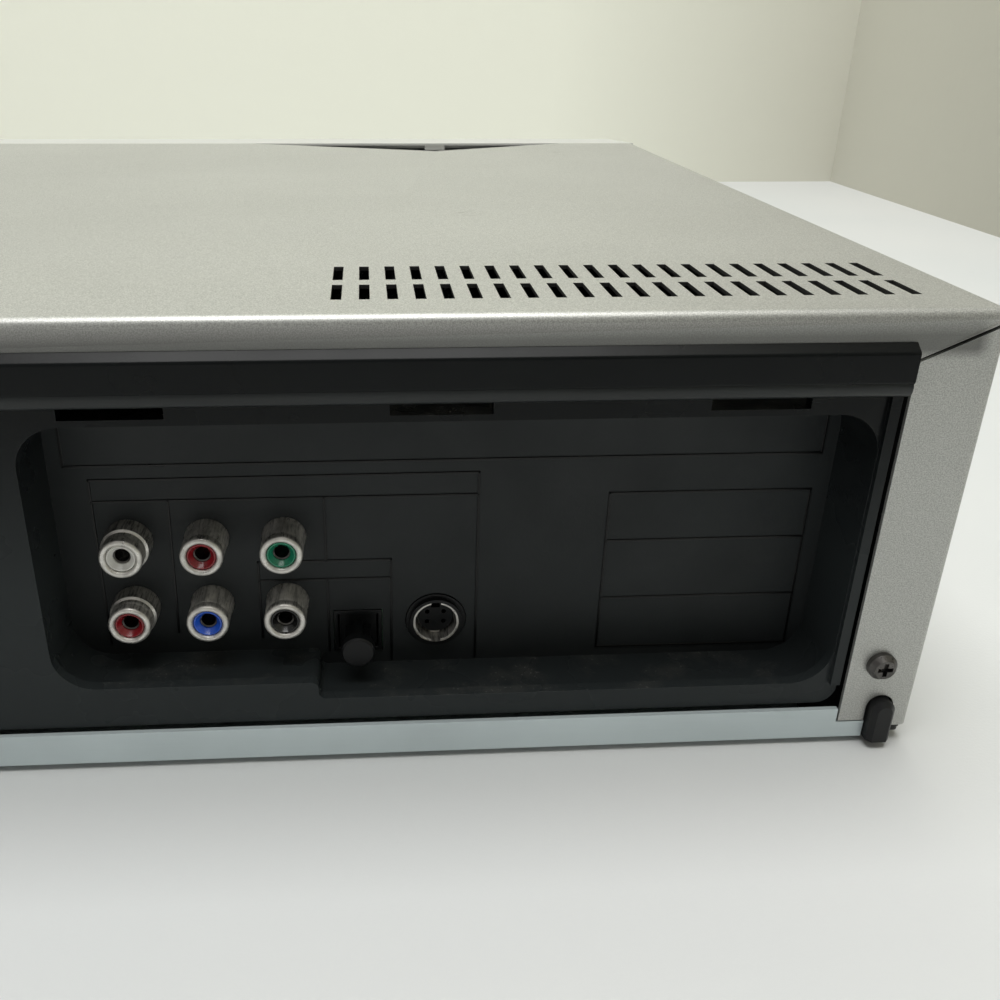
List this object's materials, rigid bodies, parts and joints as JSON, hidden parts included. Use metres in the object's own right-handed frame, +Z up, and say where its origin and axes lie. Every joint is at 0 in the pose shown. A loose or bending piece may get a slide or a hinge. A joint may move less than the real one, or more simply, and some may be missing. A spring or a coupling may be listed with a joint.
{
  "type": "disc and video cassette combination player",
  "caption": "Flat combination player with a disc tray, a cassette slot, a vented sheet steel cover and a moulded rear panel with a hooded jack bay.",
  "frame": {"origin": "middle of the footprint, on the surface the feet stand on", "axes": "+X to the right seen from the front, +Y to the rear sockets, +Z up"},
  "size_m": [0.434, 0.2638, 0.0923],
  "materials": {
    "cover_paint": "fine metallic satin paint",
    "zinc_steel": "dull zinc coated sheet",
    "black_moulding": "satin moulded plastic",
    "rail_plastic": "moulded plastic",
    "fascia_silver": "painted plastic, satin silver",
    "window_smoke": "dark polished window",
    "foot_rubber": "matt rubber",
    "screw_nickel": "dark nickel",
    "socket_nickel": "bright nickel, scratched",
    "white_insert": "moulded plastic",
    "red_insert": "moulded plastic",
    "yellow_insert": "moulded plastic",
    "green_insert": "moulded plastic",
    "blue_insert": "moulded plastic",
    "black_insert": "moulded plastic",
    "socket_plastic": "moulded plastic",
    "board": "lacquered circuit board",
    "copper_winding": "wrapped ferrite transformer",
    "sink_metal": "extruded",
    "loader_plastic": "moulded plastic",
    "tray_plastic": "moulded plastic",
    "gear_plastic": "natural acetal",
    "motor_metal": "plated can",
    "deck_steel": "plated sheet",
    "drum_metal": "turned",
    "bearing_metal": "ground steel",
    "key_silver": "painted plastic"
  },
  "bodies": {
    "casing": {"top_cover": "cover_paint", "bottom_plate": "zinc_steel", "side_rails": "rail_plastic", "rear_panel": "black_moulding", "jack_bays": "black_moulding", "front_panel": "fascia_silver", "display_window": "window_smoke", "rubber_feet": "foot_rubber", "cover_screws": "screw_nickel", "rca_shells": "socket_nickel", "rca_inserts_white": "white_insert", "rca_inserts_red": "red_insert", "rca_inserts_yellow": "yellow_insert", "rca_insert_green": "green_insert", "rca_insert_blue": "blue_insert", "rca_insert_black": "black_insert", "svideo_socket": "socket_plastic", "optical_socket": "socket_plastic", "antenna_connectors": "socket_nickel", "mains_inlet": "socket_plastic", "jack_board": "board", "power_board": "board", "transformer": "copper_winding", "heat_sink": "sink_metal", "main_board": "board", "display_board": "board", "loader_frame": "loader_plastic", "loading_motor": "motor_metal", "clamper_bridge": "deck_steel", "deck_chassis": "deck_steel", "carriage_plates": "deck_steel", "lower_drum": "drum_metal", "tape_guides": "bearing_metal"},
    "tray": {"disc_tray": "tray_plastic", "tray_front": "fascia_silver"},
    "loading_gear": {"loading_gear": "gear_plastic"},
    "traverse": {"traverse_deck": "deck_steel"},
    "turntable": {"turntable": "loader_plastic"},
    "pickup": {"pickup": "motor_metal"},
    "sled_gear": {"sled_gear": "gear_plastic"},
    "clamper": {"clamper": "gear_plastic"},
    "slider": {"carriage_slider": "loader_plastic"},
    "basket": {"cassette_basket": "deck_steel"},
    "drum": {"upper_drum": "drum_metal"},
    "capstan": {"capstan": "bearing_metal"},
    "pinch_lever": {"pinch_lever": "loader_plastic"},
    "supply_reel": {"supply_reel": "loader_plastic"},
    "takeup_reel": {"takeup_reel": "loader_plastic"},
    "cassette_flap": {"cassette_flap": "fascia_silver"},
    "jack_door": {"jack_door": "fascia_silver"},
    "optical_cap": {"optical_cap": "socket_plastic"},
    "power_button": {"power_button": "key_silver"},
    "skip_rocker": {"dvd_skip_rocker": "key_silver"},
    "open_close_button": {"open_close_button": "key_silver"},
    "dvd_play_button": {"dvd_play_button": "key_silver"},
    "dvd_stop_button": {"dvd_stop_button": "key_silver"},
    "vcr_stop_eject_button": {"vcr_stop_eject_button": "key_silver"},
    "vcr_play_button": {"vcr_play_button": "key_silver"},
    "vcr_rewind_button": {"vcr_rewind_button": "key_silver"},
    "vcr_forward_button": {"vcr_forward_button": "key_silver"}
  },
  "joints": [
    {"name": "tray_slide", "type": "slide", "parent": "casing", "child": "tray", "axis": [0, -1, 0], "range_m": [0, 0.135]},
    {"name": "loading_gear_spin", "type": "hinge", "parent": "casing", "child": "loading_gear", "pos_m": [-0.161, -0.098, 0.058], "axis": [0, 0, 1], "range_deg": [0, 650]},
    {"name": "traverse_tilt", "type": "hinge", "parent": "casing", "child": "traverse", "pos_m": [-0.114, 0.046, 0.0516], "axis": [1, 0, 0], "range_deg": [0, 3.5]},
    {"name": "turntable_spin", "type": "hinge", "parent": "traverse", "child": "turntable", "pos_m": [-0.114, -0.055, 0.056], "axis": [0, 0, 1], "continuous": true},
    {"name": "pickup_slide", "type": "slide", "parent": "traverse", "child": "pickup", "axis": [0, 1, 0], "range_m": [0, 0.034]},
    {"name": "sled_gear_spin", "type": "hinge", "parent": "traverse", "child": "sled_gear", "pos_m": [-0.077, -0.016, 0.054], "axis": [0, 0, 1], "range_deg": [-330, 0]},
    {"name": "clamper_spin", "type": "hinge", "parent": "casing", "child": "clamper", "pos_m": [-0.114, -0.055, 0.073], "axis": [0, 0, 1], "continuous": true},
    {"name": "carriage_travel", "type": "slide", "parent": "casing", "child": "slider", "axis": [0, 1, 0], "range_m": [0, 0.062]},
    {"name": "basket_drop", "type": "slide", "parent": "slider", "child": "basket", "axis": [0, 0, -1], "range_m": [0, 0.015]},
    {"name": "drum_spin", "type": "hinge", "parent": "casing", "child": "drum", "pos_m": [0.103, 0.057, 0.0275], "axis": [0, -0.0872, 0.9962], "continuous": true},
    {"name": "capstan_spin", "type": "hinge", "parent": "casing", "child": "capstan", "pos_m": [0.148, 0.026, 0.03], "axis": [0, 0, 1], "continuous": true},
    {"name": "pinch_lever_swing", "type": "hinge", "parent": "casing", "child": "pinch_lever", "pos_m": [0.1735, 0.0298, 0.032], "axis": [0, 0, 1], "range_deg": [0, 38]},
    {"name": "supply_reel_spin", "type": "hinge", "parent": "casing", "child": "supply_reel", "pos_m": [0.0568, -0.032, 0.03], "axis": [0, 0, 1], "continuous": true},
    {"name": "takeup_reel_spin", "type": "hinge", "parent": "casing", "child": "takeup_reel", "pos_m": [0.1492, -0.032, 0.03], "axis": [0, 0, 1], "continuous": true},
    {"name": "cassette_flap_hinge", "type": "hinge", "parent": "casing", "child": "cassette_flap", "pos_m": [0.103, -0.1276, 0.0825], "axis": [1, 0, 0], "range_deg": [0, 88], "stiffness_Nm_per_rad": 0.01},
    {"name": "jack_door_hinge", "type": "hinge", "parent": "casing", "child": "jack_door", "pos_m": [0.177, -0.1301, 0.0153], "axis": [1, 0, 0], "range_deg": [0, 95]},
    {"name": "optical_cap_pull", "type": "slide", "parent": "casing", "child": "optical_cap", "axis": [0, 1, 0], "range_m": [0, 0.014]},
    {"name": "power_button_press", "type": "slide", "parent": "casing", "child": "power_button", "axis": [0, 1, 0], "range_m": [0, 0.0008], "stiffness_N_per_m": 500},
    {"name": "open_close_button_press", "type": "slide", "parent": "casing", "child": "open_close_button", "axis": [0, 1, 0], "range_m": [0, 0.0008], "stiffness_N_per_m": 500},
    {"name": "dvd_play_button_press", "type": "slide", "parent": "casing", "child": "dvd_play_button", "axis": [0, 1, 0], "range_m": [0, 0.0008], "stiffness_N_per_m": 500},
    {"name": "dvd_stop_button_press", "type": "slide", "parent": "casing", "child": "dvd_stop_button", "axis": [0, 1, 0], "range_m": [0, 0.0008], "stiffness_N_per_m": 500},
    {"name": "vcr_stop_eject_button_press", "type": "slide", "parent": "casing", "child": "vcr_stop_eject_button", "axis": [0, 1, 0], "range_m": [0, 0.0008], "stiffness_N_per_m": 500},
    {"name": "vcr_play_button_press", "type": "slide", "parent": "casing", "child": "vcr_play_button", "axis": [0, 1, 0], "range_m": [0, 0.0008], "stiffness_N_per_m": 500},
    {"name": "vcr_rewind_button_press", "type": "slide", "parent": "casing", "child": "vcr_rewind_button", "axis": [0, 1, 0], "range_m": [0, 0.0008], "stiffness_N_per_m": 500},
    {"name": "vcr_forward_button_press", "type": "slide", "parent": "casing", "child": "vcr_forward_button", "axis": [0, 1, 0], "range_m": [0, 0.0008], "stiffness_N_per_m": 500},
    {"name": "skip_rocker_tilt", "type": "hinge", "parent": "casing", "child": "skip_rocker", "pos_m": [-0.096, -0.1279, 0.026], "axis": [0, 0, 1], "range_deg": [-3, 3], "stiffness_Nm_per_rad": 0.2}
  ],
  "couplings": [
    {"joint": "loading_gear_spin", "follows": "tray_slide", "rad_per_m": 83.333},
    {"joint": "sled_gear_spin", "follows": "pickup_slide", "rad_per_m": -166.67}
  ]
}
